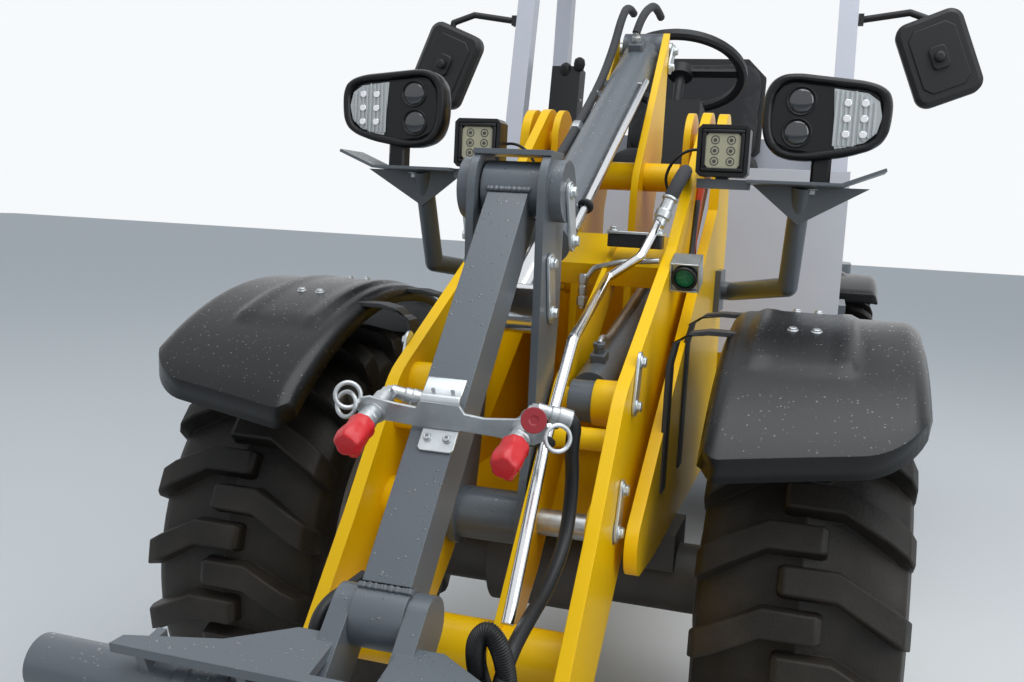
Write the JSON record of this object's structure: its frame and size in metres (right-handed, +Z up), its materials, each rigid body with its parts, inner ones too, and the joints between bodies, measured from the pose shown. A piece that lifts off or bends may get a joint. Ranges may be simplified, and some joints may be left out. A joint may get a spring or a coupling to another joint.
{
  "type": "compact wheel loader",
  "caption": "Compact articulated wheel loader with an open canopy, a Z-bar lift arm with one tilt cylinder and bell crank, and an empty quick hitch",
  "frame": {"origin": "middle of the machine's box at ground level", "axes": "+Y runs from the hitch to the counterweight, +X to the operator's left, +Z up"},
  "size_m": [1.5856, 3.702, 2.2814],
  "materials": {
    "yellow_paint": "gloss",
    "slate_paint": "satin",
    "silver_paint": "satin",
    "dark_paint": "satin",
    "zinc": "satin",
    "chrome_rod": "polished",
    "tyre": "matt",
    "fender_plastic": "satin",
    "trim_plastic": "matt",
    "lamp_housing": "satin",
    "seat_fabric": "matt",
    "iron": "rough"
  },
  "bodies": {
    "rear": {"rear_frame": "yellow_paint", "rear_axle": "dark_paint", "rear_fenders": "fender_plastic", "platform": "silver_paint", "side_boxes": "slate_paint", "canopy_frame": "silver_paint", "canopy_roof": "silver_paint", "seat_box": "dark_paint", "seat": "seat_fabric", "steering_console": "trim_plastic", "steering_wheel": "trim_plastic", "side_console": "trim_plastic", "mirrors": "trim_plastic", "engine": "iron", "counterweight": "slate_paint"},
    "front": {"front_frame": "yellow_paint", "frame_tower": "yellow_paint", "pivot_box": "yellow_paint", "front_axle": "dark_paint", "front_fenders": "fender_plastic", "lamp_brackets": "slate_paint", "headlamps": "lamp_housing", "work_lamps": "lamp_housing"},
    "wheel_front_left": {"tyre_front_left": "tyre", "rim_front_left": "silver_paint"},
    "wheel_front_right": {"tyre_front_right": "tyre", "rim_front_right": "silver_paint"},
    "wheel_rear_left": {"tyre_rear_left": "tyre", "rim_rear_left": "silver_paint"},
    "wheel_rear_right": {"tyre_rear_right": "tyre", "rim_rear_right": "silver_paint"},
    "arm": {"lift_arm": "yellow_paint"},
    "hitch_pin_pair": {"hitch_pins": "zinc"},
    "hitch": {"quick_hitch": "slate_paint"},
    "crank_pin": {"crank_pivot_pin": "zinc"},
    "crank": {"bell_crank": "slate_paint"},
    "link_joint_pin": {"link_pin": "zinc"},
    "link": {"tilt_link": "slate_paint"},
    "tilt_pin": {"tilt_cylinder_pin": "zinc"},
    "tilt_barrel": {"tilt_cylinder_barrel": "slate_paint"},
    "tilt_rod": {"tilt_cylinder_rod": "chrome_rod"},
    "lift_barrel_left": {"lift_cylinder_barrel_left": "slate_paint"},
    "lift_barrel_right": {"lift_cylinder_barrel_right": "slate_paint"},
    "lift_rod_left": {"lift_cylinder_rod_left": "chrome_rod"},
    "lift_rod_right": {"lift_cylinder_rod_right": "chrome_rod"},
    "steer_barrel": {"steering_cylinder_barrel": "slate_paint"},
    "steer_rod": {"steering_cylinder_rod": "chrome_rod"},
    "bonnet_lid": {"bonnet": "yellow_paint"}
  },
  "joints": [
    {"name": "steer", "type": "hinge", "parent": "rear", "child": "front", "pos_m": [0, -0.019, 0.53], "axis": [0, 0, 1], "range_deg": [-40, 40]},
    {"name": "lift", "type": "hinge", "parent": "front", "child": "arm", "pos_m": [0, -0.479, 1.215], "axis": [-1, 0, 0], "range_deg": [-5, 85]},
    {"name": "hitch_level", "type": "hinge", "parent": "arm", "child": "hitch_pin_pair", "pos_m": [0, -1.689, 0.278], "axis": [1, 0, 0], "range_deg": [-5.2, 85.2]},
    {"name": "tilt", "type": "hinge", "parent": "hitch_pin_pair", "child": "hitch", "pos_m": [0, -1.689, 0.278], "axis": [1, 0, 0], "range_deg": [-33, 45]},
    {"name": "crank_level", "type": "hinge", "parent": "arm", "child": "crank_pin", "pos_m": [0, -1.321, 0.589], "axis": [1, 0, 0], "range_deg": [-3.5, 59]},
    {"name": "crank_turn", "type": "hinge", "parent": "crank_pin", "child": "crank", "pos_m": [0, -1.321, 0.589], "axis": [1, 0, 0], "range_deg": [-18.4, 25.1]},
    {"name": "link_level", "type": "hinge", "parent": "crank", "child": "link_joint_pin", "pos_m": [0, -1.287, 1.085], "axis": [1, 0, 0], "range_deg": [-43.3, 2.7]},
    {"name": "link_turn", "type": "hinge", "parent": "link_joint_pin", "child": "link", "pos_m": [0, -1.287, 1.085], "axis": [1, 0, 0], "range_deg": [-21.2, 15.6]},
    {"name": "tilt_cylinder_level", "type": "hinge", "parent": "front", "child": "tilt_pin", "pos_m": [0, -0.321, 1.442], "axis": [1, 0, 0], "range_deg": [-79, 4.8]},
    {"name": "tilt_cylinder_turn", "type": "hinge", "parent": "tilt_pin", "child": "tilt_barrel", "pos_m": [0, -0.321, 1.442], "axis": [1, 0, 0], "range_deg": [-5.4, 4]},
    {"name": "tilt_rod_slide", "type": "slide", "parent": "tilt_barrel", "child": "tilt_rod", "axis": [0, -0.8727, -0.4883], "range_m": [-0.094, 0.128]},
    {"name": "lift_cylinder_turn_left", "type": "hinge", "parent": "arm", "child": "lift_barrel_left", "pos_m": [0.112, -1.239, 0.765], "axis": [1, 0, 0], "range_deg": [-0.3, 1.1]},
    {"name": "lift_rod_slide_left", "type": "slide", "parent": "lift_barrel_left", "child": "lift_rod_left", "axis": [0, 0.9744, 0.225], "range_m": [-0.026, 0.434]},
    {"name": "lift_cylinder_turn_right", "type": "hinge", "parent": "arm", "child": "lift_barrel_right", "pos_m": [-0.112, -1.239, 0.765], "axis": [1, 0, 0], "range_deg": [-0.3, 1.1]},
    {"name": "lift_rod_slide_right", "type": "slide", "parent": "lift_barrel_right", "child": "lift_rod_right", "axis": [0, 0.9744, 0.225], "range_m": [-0.026, 0.434]},
    {"name": "steer_cylinder_turn", "type": "hinge", "parent": "rear", "child": "steer_barrel", "pos_m": [0.15, 0.461, 0.53], "axis": [0, 0, 1], "range_deg": [-5.2, 5.2]},
    {"name": "steer_rod_slide", "type": "slide", "parent": "steer_barrel", "child": "steer_rod", "axis": [0.037, -0.9993, 0], "range_m": [-0.1135, 0.1135]},
    {"name": "wheel_front_left_turn", "type": "hinge", "parent": "front", "child": "wheel_front_left", "pos_m": [0.46, -0.959, 0.408], "axis": [1, 0, 0], "continuous": true},
    {"name": "wheel_front_right_turn", "type": "hinge", "parent": "front", "child": "wheel_front_right", "pos_m": [-0.46, -0.959, 0.408], "axis": [1, 0, 0], "continuous": true},
    {"name": "wheel_rear_left_turn", "type": "hinge", "parent": "rear", "child": "wheel_rear_left", "pos_m": [0.46, 0.921, 0.408], "axis": [1, 0, 0], "continuous": true},
    {"name": "wheel_rear_right_turn", "type": "hinge", "parent": "rear", "child": "wheel_rear_right", "pos_m": [-0.46, 0.921, 0.408], "axis": [1, 0, 0], "continuous": true},
    {"name": "bonnet_open", "type": "hinge", "parent": "rear", "child": "bonnet_lid", "pos_m": [0, 0.691, 1.342], "axis": [1, 0, 0], "range_deg": [0, 55]}
  ],
  "couplings": [
    {"joint": "hitch_level", "follows": "lift", "ratio": 1},
    {"joint": "crank_level", "follows": "lift", "ratio": 0.6929},
    {"joint": "crank_turn", "follows": "tilt", "ratio": 0.5556},
    {"joint": "link_level", "follows": "lift", "ratio": -0.5079},
    {"joint": "link_turn", "follows": "tilt", "ratio": -0.4682},
    {"joint": "tilt_cylinder_level", "follows": "lift", "ratio": -0.9274},
    {"joint": "tilt_cylinder_turn", "follows": "tilt", "ratio": -0.1176},
    {"joint": "tilt_rod_slide", "follows": "tilt", "m_per_rad": 0.1616},
    {"joint": "lift_cylinder_turn_left", "follows": "lift", "ratio": 0.01},
    {"joint": "lift_rod_slide_left", "follows": "lift", "m_per_rad": 0.292},
    {"joint": "lift_cylinder_turn_right", "follows": "lift", "ratio": 0.01},
    {"joint": "lift_rod_slide_right", "follows": "lift", "m_per_rad": 0.292},
    {"joint": "steer_cylinder_turn", "follows": "steer", "ratio": 0.125},
    {"joint": "steer_rod_slide", "follows": "steer", "m_per_rad": -0.162}
  ]
}
